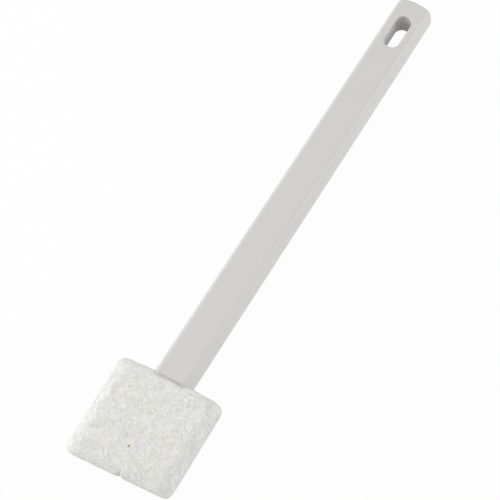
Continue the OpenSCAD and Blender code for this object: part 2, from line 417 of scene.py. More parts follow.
def blend_colours(tree, factor, low, high):
    node = new_node(tree, "ShaderNodeMix", data_type="RGBA")
    link(tree, factor, node.inputs["Factor"])
    for socket, value in ((node.inputs[6], low), (node.inputs[7], high)):
        if isinstance(value, tuple):
            socket.default_value = (*value, 1)
        else:
            link(tree, value, socket)
    return node.outputs[2]


def add_bump(tree, shader, height, strength, distance):
    bump = new_node(tree, "ShaderNodeBump")
    bump.inputs["Strength"].default_value = strength
    bump.inputs["Distance"].default_value = distance
    link(tree, height, bump.inputs["Height"])
    link(tree, bump.outputs[0], shader.inputs["Normal"])


# %% Plastic
grain_height = 0.02 * MM


def plastic_finish(name, low, high, rough_low, rough_high, bump_strength):
    material, tree, shader = new_finish(name, Specular_IOR_Level=0.4)
    grain = use_group(tree, grain_group)
    link(tree, blend_colours(tree, grain["Variation"], low, high), shader.inputs["Base Color"])
    link(tree, between(tree, grain["Variation"], rough_low, rough_high), shader.inputs["Roughness"])
    add_bump(tree, shader, grain["Height"], bump_strength, grain_height)
    return material


handle_finish = plastic_finish(
    "satin_handle_plastic", (0.597, 0.587, 0.562), (0.617, 0.609, 0.584), 0.34, 0.44, 0.5)
plate_finish = plastic_finish(
    "moulded_plate_plastic", (0.72, 0.72, 0.70), (0.78, 0.78, 0.76), 0.45, 0.6, 0.6)
film_finish = plastic_finish(
    "adhesive_film", (0.70, 0.64, 0.46), (0.76, 0.71, 0.55), 0.5, 0.75, 0.8)
print("plastics:", handle_finish.name, plate_finish.name, film_finish.name)


# %% Fibre, foam and thread
def head_to_frame(points):
    """Turns points of the head's own frame, with z from its middle, into the shared frame."""
    turned = np.array(points, float)
    c, s = math.cos(head_turn), math.sin(head_turn)
    turned[:, 0] = c * points[:, 0] - s * points[:, 1]
    turned[:, 1] = s * points[:, 0] + c * points[:, 1] + neck_y
    turned[:, 2] += mid_z
    return turned


def on_head(x, y):
    return Vector(head_to_frame(np.array([(x, y, 0.0)]))[0])


pinhole_at = on_head(0.25 * MM, -44.8 * MM)
speck_at = on_head(-3.65 * MM, -39.6 * MM)
# The pinhole and the speck are coloured dark olive: painted shade in their hollows, with a slight
# olive tint of their own.
hole_shades = [(pinhole_at, 0.85 * MM, (0.42, 0.40, 0.27)), (speck_at, 0.4 * MM, (0.55, 0.54, 0.46))]


def fibre_finish(name, gap_shade, pale, warm, web_scale, bump_strength, bump_height):
    material, tree, shader = new_finish(
        name, Roughness=0.92, Sheen_Weight=0.15, Sheen_Roughness=0.6, Specular_IOR_Level=0.2)
    web = use_group(tree, web_group, Across_Scale=web_scale)
    mottle = use_group(tree, mottle_group, Scale=320, Contrast=3)
    colour = blend_colours(tree, mottle["Tone"], pale, warm)
    # The gaps of the web take the darker colour: painted shade between the fibres.
    colour = blend_colours(tree, web["Gaps"], colour, gap_shade)
    # Painted shade in the pinhole and the speck.
    for (x, y, _), radius, hole_shade_colour in hole_shades:
        mark = use_group(tree, mark_group, X=x, Y=y, Low_Z=float(mid_z), Radius=radius)
        colour = blend_colours(tree, mark["Mask"], colour, hole_shade_colour)
    link(tree, colour, shader.inputs["Base Color"])
    add_bump(tree, shader, web["Web"], bump_strength, bump_height)
    return material


# In each finish below, the first colour is painted shade, laid into the gaps between fibres and foam
# cells.
cover_finish = fibre_finish(
    "white_fibre", gap_shade=(0.77, 0.77, 0.75), pale=(0.835, 0.835, 0.82), warm=(0.84, 0.835, 0.78),
    web_scale=1500, bump_strength=0.2, bump_height=0.04 * MM)
strand_finish = fibre_finish(
    "loose_fibre", gap_shade=(0.82, 0.82, 0.805), pale=(0.86, 0.86, 0.845), warm=(0.86, 0.855, 0.79),
    web_scale=3000, bump_strength=0.06, bump_height=0.01 * MM)
thread_finish = fibre_finish(
    "spun_thread", gap_shade=(0.45, 0.44, 0.38), pale=(0.70, 0.68, 0.58), warm=(0.66, 0.63, 0.50),
    web_scale=3000, bump_strength=0.8, bump_height=0.05 * MM)
foam_finish = fibre_finish(
    "foam_cells", gap_shade=(0.45, 0.42, 0.30), pale=(0.82, 0.78, 0.62), warm=(0.80, 0.74, 0.55),
    web_scale=1800, bump_strength=1.0, bump_height=0.15 * MM)

# %% Finishes of the maker's solids
node_finishes = {
    "handle_front_shell": handle_finish, "handle_back_shell": handle_finish,
    "paddle": plate_finish, "tape_front": film_finish, "tape_back": film_finish,
    "foam_front": foam_finish, "foam_back": foam_finish, "fibre_cover": cover_finish,
    "seam_thread": thread_finish}
for node, finish in node_finishes.items():
    for material_slot in frame["nodes"][node].material_slots:
        material_slot.material = finish
print("finished", len(node_finishes), "nodes, pinhole at", [round(v / MM, 1) for v in pinhole_at])

# %% [markdown]
# ## The handle
# The real handle is two thin moulded shells that meet on a line round its sides. Its section is
# nearly flat in front and behind, with crowned sides that roll into the faces. A box with a
# bevel would give sides that are too flat, so each shell is a loft: the same outline is drawn
# again and again, each time a little further in and a little higher, and each ring is joined to
# the next. The rings go over the outside, down through the hang slot and back up the inside,
# so that each shell is closed, with a real wall.

# %% Handle sizes
end_arch_r = 30 * MM
end_corner_r = 4.5 * MM
least_corner_r = 0.4 * MM
side_steps = 24
corner_steps = 9
arch_steps = 22
roll_in = 3.7 * MM
roll_steps = 12
shell_wall = 1.8 * MM
cavity_inset = 2.6 * MM
groove = 0.12 * MM
hold = 0.35 * MM

slot_w = 8.8 * MM
slot_l = 22.4 * MM
slot_margin = 13.2 * MM
slot_wall = 1.6 * MM
slot_rim = 1.1 * MM
rim_steps = 7
slot_steps = 16
slot_y = handle_end_y - slot_margin - slot_l / 2
crease_degrees = 40
print("slot %.1f x %.1f mm, middle at y = %.1f mm" % (slot_w / MM, slot_l / MM, slot_y / MM))


# %% Outlines
def arc(cx, cy, r, a0, a1, steps):
    return [(cx + r * math.cos(a), cy + r * math.sin(a)) for a in np.linspace(a0, a1, steps)]


def handle_outline(inset):
    """The handle seen from above: up its right side, over the arched end and down the left."""
    half = handle_half_w - inset
    corner_r = max(end_corner_r - inset, least_corner_r)
    arch_r = end_arch_r - inset
    arch_y = handle_end_y - end_arch_r
    corner_x = half - corner_r
    corner_y = arch_y + math.sqrt((arch_r - corner_r) ** 2 - corner_x ** 2)
    swing = math.atan2(corner_x, corner_y - arch_y)
    low_y = handle_low_y + inset
    side = [(half, y) for y in np.linspace(low_y, corner_y, side_steps)[:-1]]
    right = side + arc(corner_x, corner_y, corner_r, 0, math.pi / 2 - swing, corner_steps)
    over = arc(0, arch_y, arch_r, math.pi / 2 - swing, math.pi / 2 + swing, arch_steps)[1:-1]
    return right + over + [(-x, y) for x, y in reversed(right)]


def slot_outline(grow):
    r = slot_w / 2 + grow
    reach = (slot_l - slot_w) / 2
    return (arc(0, slot_y + reach, r, 0, math.pi, slot_steps)
            + arc(0, slot_y - reach, r, math.pi, 2 * math.pi, slot_steps))


# %% Ring helpers
def add_ring(bm, outline, z):
    return [bm.verts.new((x, y, z)) for x, y in outline]


def bridge(bm, a, b):
    for i in range(len(a)):
        j = (i + 1) % len(a)
        bm.faces.new((a[i], a[j], b[j], b[i]))


def loft(bm, outline, steps):
    """Rings of one outline through (inset, z) steps, each joined to the one before."""
    rings = [add_ring(bm, outline(inset), z) for inset, z in steps]
    for a, b in zip(rings, rings[1:]):
        bridge(bm, a, b)
    return rings


def fill_between(bm, *rings):
    edges = [bm.edges.get((ring[i], ring[i - 1])) or bm.edges.new((ring[i], ring[i - 1]))
             for ring in rings for i in range(len(ring))]
    bmesh.ops.triangle_fill(bm, use_beauty=True, edges=edges)


def finish_mesh(bm, name, finish, smooth_below=None):
    bmesh.ops.recalc_face_normals(bm, faces=bm.faces[:])
    mesh = bpy.data.meshes.new(name)
    bm.to_mesh(mesh)
    bm.free()
    mesh.materials.append(finish)
    mesh.shade_smooth()
    if smooth_below is not None:
        mesh.set_sharp_from_angle(angle=math.radians(smooth_below))
    return add_object(name, mesh)


def roll(z0, z1, inset=0.0, grow=0.0):
    """Steps up a crowned side, from the shells' meeting line to the edge of a flat face."""
    turns = np.linspace(0, math.pi / 2, roll_steps)
    return [(inset - grow + roll_in * (1 - math.cos(t)), z0 + (z1 - z0) * math.sin(t))
            for t in turns]


# %% The two shells
def handle_shell(name, face_z, node):
    up = math.copysign(1, face_z - meet_z)
    roof_z = face_z - up * shell_wall
    bm = bmesh.new()
    outer = loft(bm, handle_outline, [(groove, meet_z)] + roll(meet_z + up * groove, face_z)
                 + [(roll_in + hold, face_z)])
    rim = [(slot_rim + hold, face_z)]
    rim += [(slot_rim * (1 - math.sin(t)), face_z - up * slot_rim * (1 - math.cos(t)))
            for t in np.linspace(0, math.pi / 2, rim_steps)]
    through = loft(bm, slot_outline, rim + [(0, meet_z), (slot_wall, meet_z), (slot_wall, roof_z)])
    inner = loft(bm, handle_outline, [(cavity_inset, roof_z), (cavity_inset, meet_z)])
    fill_between(bm, outer[-1], through[0])
    fill_between(bm, inner[0], through[-1])
    bridge(bm, inner[1], outer[0])
    shell = finish_mesh(bm, name, handle_finish, smooth_below=crease_degrees)
    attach(shell, body)
    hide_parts(node)
    print(name, len(shell.data.polygons), "faces")


handle_shell("handle_front", handle_top_z, "handle_front_shell")
handle_shell("handle_back", handle_low_z, "handle_back_shell")

# %% [markdown]
# ## The soft head
# The real head is a pad: foam on both faces of a stiff plate, wrapped in a sheet of thick
# non-woven fibre. The sheet is taut over the pad, but not true: its corners sit a little apart,
# its top edge bows out, and its lower edge is pinched thin where the sheet turns under.
# The form is drawn first as a grid of points that is bent to those four corners. A cloth
# simulation with air pressure inside then swells it as a stuffed cover swells.

# %% Head form
head_corners = np.array([(-30.0, 0.0), (30.85, -0.87), (30.2, -58.1), (-29.7, -59.2)]) * MM
corner_radii = np.array([2.0, 3.5, 2.5, 3.0]) * MM
side_round = 7.5 * MM
pinch_half = 2.75 * MM
pinch_lip = 1.5 * MM
pinch_l = 14 * MM
top_bow = 1.4 * MM
form_half = 30 * MM
slab_merge = 0.002 * MM


def bulge(distance, radius):
    """A quarter round: 0 at an edge and 1 from one radius inside it."""
    return np.sqrt(np.clip(1 - (1 - np.minimum(distance / radius, 1)) ** 2, 0, 1))


def head_grid(inset, steps=60):
    """Places over the head in its own frame, and the half thickness at each of them."""
    spread = np.sin(np.linspace(-1, 1, steps) * math.pi / 2)
    u, v = np.meshgrid(spread, spread)
    left, upper = u < 0, v > 0
    radius = np.where(left, np.where(upper, corner_radii[0], corner_radii[3]),
                      np.where(upper, corner_radii[1], corner_radii[2]))
    dx = np.abs(u) * form_half - (form_half - radius)
    dy = np.abs(v) * form_half - (form_half - radius)
    in_corner = (dx > 0) & (dy > 0)
    squeeze = np.where(in_corner, np.maximum(dx, dy) / np.maximum(np.hypot(dx, dy), 1e-9), 1)
    x = np.where(in_corner, np.sign(u) * (form_half - radius + dx * squeeze), u * form_half)
    y = np.where(in_corner, np.sign(v) * (form_half - radius + dy * squeeze), v * form_half)
    x, y = x / form_half, y / form_half
    pull = np.array([(inset, -inset), (-inset, -inset), (-inset, inset), (inset, inset)])
    tl, tr, br, bl = head_corners + pull
    across, along = x[..., None], y[..., None]
    places = ((1 - across) * (1 + along) * tl + (1 + across) * (1 + along) * tr
              + (1 + across) * (1 - along) * br + (1 - across) * (1 - along) * bl) / 4
    places[..., 1] += top_bow * np.clip((1 + y) / 2, 0, 1) ** 3 * (1 - np.abs(x) ** 1.5)
    half_t = head_half_t - inset
    pinch = (pinch_half - inset) / half_t
    side = bulge((1 - np.abs(u)) * form_half, side_round - inset)
    top = bulge((1 - v) * form_half, side_round - inset)
    from_low = (1 + v) * form_half
    low = (pinch * bulge(from_low, pinch_lip)
           + (1 - pinch) * np.sin(math.pi / 2 * np.clip(from_low / pinch_l, 0, 1)))
    return places, half_t * side * top * low


def head_from_frame(points):
    moved = points - np.array([0, neck_y, mid_z])
    c, s = math.cos(head_turn), math.sin(head_turn)
    return np.stack([c * moved[:, 0] + s * moved[:, 1], c * moved[:, 1] - s * moved[:, 0],
                     moved[:, 2]], axis=1)


def slab_mesh(name, upper, lower, keep=None):
    """A closed slab between two grids of points, over the cells that are kept."""
    rows, columns = upper.shape[:2]
    if keep is None:
        keep = np.ones((rows - 1, columns - 1), bool)
    bm = bmesh.new()
    top = [[bm.verts.new(p) for p in row] for row in upper]
    low = [[bm.verts.new(p) for p in row] for row in lower]
    for i, j in zip(*np.nonzero(keep)):
        ring = ((i, j), (i, j + 1), (i + 1, j + 1), (i + 1, j))
        bm.faces.new([top[a][b] for a, b in ring])
        bm.faces.new([low[a][b] for a, b in reversed(ring)])
        beside = ((i - 1, j), (i, j + 1), (i + 1, j), (i, j - 1))
        for k, (a, b) in enumerate(beside):
            if not (0 <= a < rows - 1 and 0 <= b < columns - 1 and keep[a, b]):
                (p, q), (r, s) = ring[k], ring[(k + 1) % 4]
                bm.faces.new((top[p][q], low[p][q], low[r][s], top[r][s]))
    loose = [v for v in bm.verts if not v.link_faces]
    bmesh.ops.delete(bm, geom=loose, context="VERTS")
    bmesh.ops.remove_doubles(bm, verts=bm.verts[:], dist=slab_merge)
    bmesh.ops.recalc_face_normals(bm, faces=bm.faces[:])
    mesh = bpy.data.meshes.new(name)
    bm.to_mesh(mesh)
    bm.free()
    return mesh


# %% The starting shape of the cover
start_inset = 0.15 * MM
places, half = head_grid(start_inset)
upper = np.dstack([places, half])
lower = np.dstack([places, -half])
start_mesh = slab_mesh("cover_start", upper, lower)
print("start shape", len(start_mesh.polygons), "faces")

# %% [markdown]
# The cloth solver is made for garments, so a pad of a few centimetres is simulated at ten times
# its size and brought back. The points of the pinched edge are held. Of each other point's
# movement only the outward part is kept, up to a cap, which varies a little so that the wadding
# under the sheet looks uneven. The result is smoothed lightly.

# %% Simulate the cover
sim_size = 10
voxel = 1.0 * MM
cap_low = 0.25 * MM
cap_high = 0.75 * MM
pressure = 4
last_frame = 20
held_reach = 1.5 * MM
unevenness = 1.2


def evaluated_mesh(obj):
    graph = bpy.context.evaluated_depsgraph_get()
    return bpy.data.meshes.new_from_object(obj.evaluated_get(graph), depsgraph=graph)


def mesh_points(mesh):
    flat = np.empty(len(mesh.vertices) * 3)
    mesh.vertices.foreach_get("co", flat)
    return flat.reshape(-1, 3)


def set_points(mesh, points):
    mesh.vertices.foreach_set("co", np.ascontiguousarray(points).ravel())
    mesh.update()


def with_modifier(mesh, kind, **settings):
    """The mesh after one modifier, as a plain mesh."""
    obj = add_object("work", mesh)
    modifier = obj.modifiers.new("work", kind)
    for name, value in settings.items():
        setattr(modifier, name, value)
    result = evaluated_mesh(obj)
    bpy.data.objects.remove(obj)
    return result


def swell(mesh):
    """Swells a closed mesh with air pressure. Points near the pinched edge are held."""
    obj = add_object("swelling", mesh)
    start = mesh_points(mesh)
    held = obj.vertex_groups.new(name="held")
    edge = head_corners[:, 1].min() + start_inset + held_reach
    for index in np.nonzero(start[:, 1] < edge * sim_size)[0]:
        held.add([int(index)], 1.0, "REPLACE")
    cloth = obj.modifiers.new("cloth", "CLOTH")
    cloth.settings.vertex_group_mass = "held"
    cloth.settings.use_pressure = True
    cloth.settings.uniform_pressure_force = pressure
    cloth.settings.effector_weights.gravity = 0
    cloth.point_cache.frame_start = 1
    cloth.point_cache.frame_end = last_frame
    scene = bpy.context.scene
    for frame_number in range(1, last_frame + 1):
        scene.frame_set(frame_number)
    swollen_mesh = evaluated_mesh(obj)
    swollen = mesh_points(swollen_mesh)
    bpy.data.objects.remove(obj)
    scene.frame_set(1)
    outward = np.array([v.normal[:] for v in mesh.vertices])
    rise = ((swollen - start) * outward).sum(axis=1)
    wave = np.array([noise_value(Vector(p * unevenness)) for p in start])
    cap = (cap_low + (cap_high - cap_low) * (0.5 + 0.5 * wave)) * sim_size
    print("swelled by up to %.2f mm, before the cap" % (rise.max() / sim_size / MM))
    set_points(mesh, start + outward * np.clip(rise, 0, cap)[:, None])
    return mesh


set_points(start_mesh, mesh_points(start_mesh) * sim_size)
cover_mesh = with_modifier(start_mesh, "REMESH", mode="VOXEL", voxel_size=voxel * sim_size)
print("remeshed to", len(cover_mesh.polygons), "faces")
cover_mesh = swell(cover_mesh)
cover_mesh = with_modifier(cover_mesh, "SMOOTH", factor=0.5, iterations=2)
set_points(cover_mesh, head_to_frame(mesh_points(cover_mesh) / sim_size))
cover_mesh = with_modifier(cover_mesh, "SUBSURF", levels=1, render_levels=1)
print("cover surface", len(cover_mesh.polygons), "faces")

# %% [markdown]
# The sheet is thick wadding, so its surface has low lumps. The front face has a pinhole with a
# pressed-in rim, the lower edge has a small nick, and the back has the seam's channel. The
# handle then cuts its own opening: a closed form of the handle, a little larger, is taken away
# from the cover, with a thin slit along the seam. The walls that this leaves are deleted, so
# that the cover is an open skin.

# %% Lumps, pinhole, nick and seam channel
lump_height = 0.06 * MM
lump_scale = 170
fine_height = 0.015 * MM
fine_scale = 900
fine_shift = 7
pinhole_r = 0.75 * MM
pinhole_depth = 0.4 * MM
nick_x = 1.6 * MM
nick_r = 1.3 * MM
nick_depth = 0.9 * MM
nick_reach = 2.5 * MM
rest_gap = 0.35 * MM
swell_room = 0.9 * MM
seam_half = 2.0 * MM
seam_depth = 0.85 * MM
seam_margin = 2.5 * MM
slit_low_y = pinch_l - head_l + seam_margin

points = mesh_points(cover_mesh)
normals = np.array([v.normal[:] for v in cover_mesh.vertices])
lumps = np.array([noise_value(Vector(p * lump_scale)) for p in points])
fine = np.array([noise_value(Vector(p * fine_scale + fine_shift)) for p in points])
points = points + normals * (lumps * lump_height + fine * fine_height)[:, None]
local = head_from_frame(points)
front_side = local[:, 2] > 0
from_hole = np.hypot(points[:, 0] - pinhole_at.x, points[:, 1] - pinhole_at.y)
points[:, 2] -= np.where(front_side, pinhole_depth * np.exp(-(from_hole / pinhole_r) ** 2), 0)
near_low = np.exp(-((local[:, 1] - head_corners[2:, 1].mean()) / nick_reach) ** 2)
points[:, 1] += nick_depth * near_low * np.exp(-((local[:, 0] - nick_x) / nick_r) ** 2)
points[:, 2] = np.clip(points[:, 2], cover_lo.z + rest_gap, cover_hi.z + swell_room)
in_seam = np.exp(-(local[:, 0] / seam_half) ** 4) * (local[:, 2] < -head_half_t / 2)
past_low = np.clip((local[:, 1] - slit_low_y) / seam_half + 1, 0, 1)
points[:, 2] += seam_depth * in_seam * past_low
set_points(cover_mesh, points)
print("cover from z = %.2f to %.2f mm" % (points[:, 2].min() / MM, points[:, 2].max() / MM))

# %% The opening
opening_gap = 0.25 * MM
seam_slit = 0.45 * MM
slit_high_y = 4 * MM
skin_merge = 0.01 * MM


def handle_form(name, grow, finish):
    """A closed form of the whole handle, larger all round by grow."""
    bm = bmesh.new()
    back = [(i, meet_z - (z - meet_z)) for i, z in roll(meet_z, 2 * meet_z - handle_low_z + grow,
                                                       grow=grow)]
    front = roll(meet_z, handle_top_z + grow, grow=grow)
    rings = loft(bm, handle_outline, back[::-1] + front[1:])
    fill_between(bm, rings[0])
    fill_between(bm, rings[-1])
    return finish_mesh(bm, name, finish)


def slit_form(name, finish):
    """A thin upright form along the back seam, where the sheet's two ends meet."""
    bm = bmesh.new()
    bmesh.ops.create_cube(bm, size=1)
    for vert in bm.verts:
        y = slit_high_y if vert.co.y > 0 else slit_low_y
        z = -head_half_t / 2 if vert.co.z > 0 else -2 * head_half_t
        vert.co = head_to_frame(np.array([(seam_slit * vert.co.x, y, z)]))[0]
    return finish_mesh(bm, name, finish)


cover = add_object("wrapped_cover", cover_mesh)
cover_mesh.materials.clear()
cover_mesh.materials.append(cover_finish)
cutters = bpy.data.collections.new("cutters")
for cutter in (handle_form("handle_space", opening_gap, handle_finish),
               slit_form("seam_slit", handle_finish)):
    cutters.objects.link(cutter)
cut = cover.modifiers.new("opening", "BOOLEAN")
cut.operation = "DIFFERENCE"
cut.solver = "EXACT"
cut.material_mode = "TRANSFER"
cut.operand_type = "COLLECTION"
cut.collection = cutters
cut_mesh = evaluated_mesh(cover)
cover.modifiers.clear()
bm = bmesh.new()
bm.from_mesh(cut_mesh)
walls = [face for face in bm.faces if face.material_index > 0]
print("cut away", len(walls), "faces of the opening's walls")
bmesh.ops.delete(bm, geom=walls, context="FACES")
bmesh.ops.remove_doubles(bm, verts=bm.verts[:], dist=skin_merge)
bm.to_mesh(cover_mesh)
bm.free()
for cutter in list(cutters.objects):
    bpy.data.objects.remove(cutter)
bpy.data.collections.remove(cutters)
while len(cover_mesh.materials) > 1:
    cover_mesh.materials.pop()
cover_mesh.shade_smooth()
skin_mesh = cover_mesh.copy()

# %% The cover's thickness
solidify = cover.modifiers.new("sheet", "SOLIDIFY")
solidify.thickness = cover_t
solidify.offset = -1
thick_mesh = evaluated_mesh(cover)
cover.modifiers.clear()
cover.data = thick_mesh
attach(cover, body)
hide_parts("fibre_cover")
print("cover", len(thick_mesh.polygons), "faces")

# %% [markdown]
# ## Foam under the cover
# Two slabs of soft foam lie on the plate's two faces. Nothing of them shows but a thin line in
# the slit of the back seam, yet the cover needs something to lie on. Each slab is the head's
# form drawn smaller, with a flat inner face that steps back round the plate and its film, and a
# notch for the handle's end.

# %% Foam slabs
foam_inset = 2.4 * MM
foam_gap = 0.2 * MM
foam_least = 0.4 * MM
step_width = 2 * MM
blade_top_y = handle_low_y - 3 * MM
neck_half = 5 * MM
foam_crease_degrees = 50

places, half = head_grid(foam_inset, steps=70)
flat = np.dstack([places, half]).reshape(-1, 3)
in_frame = head_to_frame(flat).reshape(*half.shape, 3)
x, y = in_frame[..., 0], in_frame[..., 1]
blade_half = plate_hi.x
off_blade = np.maximum(np.abs(x) - blade_half, np.maximum(y - blade_top_y, plate_lo.y - y))
off_plate = np.minimum(off_blade, np.maximum(np.abs(x) - neck_half, plate_lo.y - y))
step_back = np.clip(1 - (off_plate - foam_gap) / step_width, 0, 1)
smooth_step = step_back ** 2 * (3 - 2 * step_back)
film_z = tape_hi.z - mid_z + foam_gap
inner = foam_gap / 2 + (film_z - foam_gap / 2) * smooth_step
cells = half - inner > foam_least
cells &= ~((np.abs(x) < handle_half_w + 2 * foam_gap) & (y > handle_low_y - 2 * foam_gap))
keep = cells[:-1, :-1] & cells[1:, :-1] & cells[:-1, 1:] & cells[1:, 1:]
for name, up, node in (("foam_slab_front", 1, "foam_front"), ("foam_slab_back", -1, "foam_back")):
    outer_face, inner_face = in_frame.copy(), in_frame.copy()
    outer_face[..., 2] = mid_z + up * half
    inner_face[..., 2] = mid_z + up * inner
    mesh = slab_mesh(name, outer_face, inner_face, keep)
    mesh.materials.append(foam_finish)
    mesh.shade_smooth()
    mesh.set_sharp_from_angle(angle=math.radians(foam_crease_degrees))
    slab = add_object(name, mesh)
    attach(slab, body)
    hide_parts(node)
    print(name, len(mesh.polygons), "faces")

# %% [markdown]
# ## Loose fibres
# What the eye reads as this material is its top layer: fine fibres, laid at random, each
# bent a little and crossing the others. A bump can't give their ragged outline, so they are
# real tubes. Geometry Nodes scatters short lines over the skin, bends each by a noise, presses
# every point back on the skin, lifts it by its own small height and gives it a round section.

# %% The fibre tree
fibre_inputs = {
    "Density": 1.3e6, "Length": 0.0042, "Length Spread": 0.45, "Radius": 0.00004,
    "Lift": 0.00005, "Wander": 0.004, "Side": 1.0, "Middle Height": 0.009, "Seed": 1}
fibre_points = 6
fibre_sides = 3
wander_scale = 90
offset_range = 50
point_lift_share = 0.4


def geometry_tree(name, inputs):
    tree = bpy.data.node_groups.new(name, "GeometryNodeTree")
    tree.interface.new_socket("Geometry", in_out="INPUT", socket_type="NodeSocketGeometry")
    for label, value in inputs.items():
        kind = "NodeSocketInt" if isinstance(value, int) else "NodeSocketFloat"
        socket = tree.interface.new_socket(label, in_out="INPUT", socket_type=kind)
        socket.default_value = value
    tree.interface.new_socket("Geometry", in_out="OUTPUT", socket_type="NodeSocketGeometry")
    return tree, tree.nodes.new("NodeGroupInput").outputs, tree.nodes.new("NodeGroupOutput")


def random_float(tree, low, high, seed, by=None):
    node = new_node(tree, "FunctionNodeRandomValue", data_type="FLOAT")
    for label, value in (("Min", low), ("Max", high)):
        socket = [s for s in node.inputs if s.name == label and s.type == "VALUE"][0]
        set_input(tree, socket, value)
    set_input(tree, node.inputs["Seed"], seed)
    set_input(tree, node.inputs["ID"], by)
    return [s for s in node.outputs if s.type == "VALUE"][0]


def random_vector(tree, low, high, seed, by=None):
    node = new_node(tree, "FunctionNodeRandomValue", data_type="FLOAT_VECTOR")
    node.inputs[0].default_value = (low, low, low)
    node.inputs[1].default_value = (high, high, high)
    set_input(tree, node.inputs["Seed"], seed)
    set_input(tree, node.inputs["ID"], by)
    return node.outputs[0]


def resample(tree, curve, count):
    node = new_node(tree, "GeometryNodeResampleCurve")
    link(tree, curve, node.inputs["Curve"])
    set_input(tree, node.inputs["Count"], count)
    return node.outputs[0]


def round_tube(tree, curve, radius, sides):
    """A closed tube along a curve."""
    section = new_node(tree, "GeometryNodeCurvePrimitiveCircle")
    section.inputs["Resolution"].default_value = sides
    link(tree, radius, section.inputs["Radius"])
    tube = new_node(tree, "GeometryNodeCurveToMesh")
    link(tree, curve, tube.inputs["Curve"])
    link(tree, section.outputs[0], tube.inputs["Profile Curve"])
    tube.inputs["Fill Caps"].default_value = True
    return tube.outputs[0]


def hand_out(tree, geometry, finish, group_out):
    """Ends a tree: real geometry with its finish set."""
    whole = new_node(tree, "GeometryNodeRealizeInstances")
    link(tree, geometry, whole.inputs[0])
    dress = new_node(tree, "GeometryNodeSetMaterial")
    dress.inputs["Material"].default_value = finish
    link(tree, whole.outputs[0], dress.inputs["Geometry"])
    link(tree, dress.outputs[0], group_out.inputs[0])
    print(tree.name, "has", len(tree.nodes), "nodes")


# %% Scatter the strands
fibre_tree, inputs, group_out = geometry_tree("laid_fibres", fibre_inputs)
tree = fibre_tree
skin = inputs["Geometry"]
position = new_node(tree, "GeometryNodeInputPosition").outputs[0]
height = new_node(tree, "ShaderNodeSeparateXYZ")
link(tree, position, height.inputs[0])
above = math_node(tree, "SUBTRACT", height.outputs["Z"], inputs["Middle Height"])
on_side = new_node(tree, "FunctionNodeCompare", data_type="FLOAT", operation="GREATER_THAN")
link(tree, math_node(tree, "MULTIPLY", above, inputs["Side"]), on_side.inputs["A"])
scatter = new_node(tree, "GeometryNodeDistributePointsOnFaces", distribute_method="RANDOM")
link(tree, skin, scatter.inputs["Mesh"])
link(tree, on_side.outputs[0], scatter.inputs["Selection"])
link(tree, inputs["Density"], scatter.inputs["Density"])
link(tree, inputs["Seed"], scatter.inputs["Seed"])
heading = new_node(tree, "FunctionNodeAxesToRotation", primary_axis="Z", secondary_axis="X")
link(tree, scatter.outputs["Normal"], heading.inputs["Primary Axis"])
link(tree, random_vector(tree, -1, 1, inputs["Seed"]), heading.inputs["Secondary Axis"])
line = new_node(tree, "GeometryNodeCurvePrimitiveLine")
line.inputs["Start"].default_value = (-0.5, 0, 0)
line.inputs["End"].default_value = (0.5, 0, 0)
shortest = math_node(tree, "MULTIPLY", inputs["Length"],
                     math_node(tree, "SUBTRACT", 1, inputs["Length Spread"]))
longest = math_node(tree, "MULTIPLY", inputs["Length"],
                    math_node(tree, "ADD", 1, inputs["Length Spread"]))
place_strands = new_node(tree, "GeometryNodeInstanceOnPoints")
link(tree, scatter.outputs["Points"], place_strands.inputs["Points"])
link(tree, resample(tree, line.outputs[0], fibre_points), place_strands.inputs["Instance"])
link(tree, heading.outputs[0], place_strands.inputs["Rotation"])
link(tree, random_float(tree, shortest, longest, inputs["Seed"]), place_strands.inputs["Scale"])
strands = new_node(tree, "GeometryNodeRealizeInstances")
link(tree, place_strands.outputs[0], strands.inputs[0])

# %% Bend the strands and lay them on the skin
owner = new_node(tree, "GeometryNodeCurveOfPoint").outputs["Curve Index"]
own_offset = random_vector(tree, -offset_range, offset_range, inputs["Seed"], by=owner)
wave = noise(tree, vector_math(tree, "ADD", position, own_offset), wander_scale, 0, output="Color")
sway = vector_math(tree, "SUBTRACT", wave, (0.5, 0.5, 0.5))
bend = new_node(tree, "GeometryNodeSetPosition")
link(tree, strands.outputs[0], bend.inputs["Geometry"])
link(tree, vector_math(tree, "SCALE", sway, scale=inputs["Wander"]), bend.inputs["Offset"])
nearest = new_node(tree, "GeometryNodeProximity", target_element="FACES")
link(tree, skin, nearest.inputs["Geometry"])
facing = new_node(tree, "GeometryNodeSampleNearestSurface", data_type="FLOAT_VECTOR")
link(tree, skin, facing.inputs["Mesh"])
link(tree, new_node(tree, "GeometryNodeInputNormal").outputs[0], facing.inputs["Value"])
lift = random_float(tree, 0, inputs["Lift"], inputs["Seed"])
own_lift = random_float(tree, 0, inputs["Lift"], inputs["Seed"], by=owner)
point_lift = math_node(tree, "MULTIPLY", lift, point_lift_share)
raised = vector_math(tree, "SCALE", facing.outputs["Value"],
                     scale=math_node(tree, "ADD", point_lift, own_lift))
lay = new_node(tree, "GeometryNodeSetPosition")
link(tree, bend.outputs[0], lay.inputs["Geometry"])
link(tree, vector_math(tree, "ADD", nearest.outputs["Position"], raised), lay.inputs["Position"])
hand_out(tree, round_tube(tree, lay.outputs[0], inputs["Radius"], fibre_sides), strand_finish,
         group_out)


# %% Grow the fibres
def grow(name, host_mesh, tree, finish, **values):
    """Runs a Geometry Nodes tree on a host mesh, and keeps the result as a plain piece."""
    host = add_object("host", host_mesh)
    modifier = host.modifiers.new("grow", "NODES")
    modifier.node_group = tree
    for item in tree.interface.items_tree:
        label = item.name.replace(" ", "_")
        if item.in_out == "INPUT" and label in values:
            modifier[item.identifier] = values[label]
    mesh = evaluated_mesh(host)
    bpy.data.objects.remove(host)
    mesh.name = name
    mesh.materials.clear()
    mesh.materials.append(finish)
    mesh.shade_smooth()
    piece = add_object(name, mesh)
    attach(piece, body)
    print(name, sum(len(p.vertices) - 2 for p in mesh.polygons), "triangles")
    return piece


part_reach = 2 * pinhole_r
part_share = 0.5


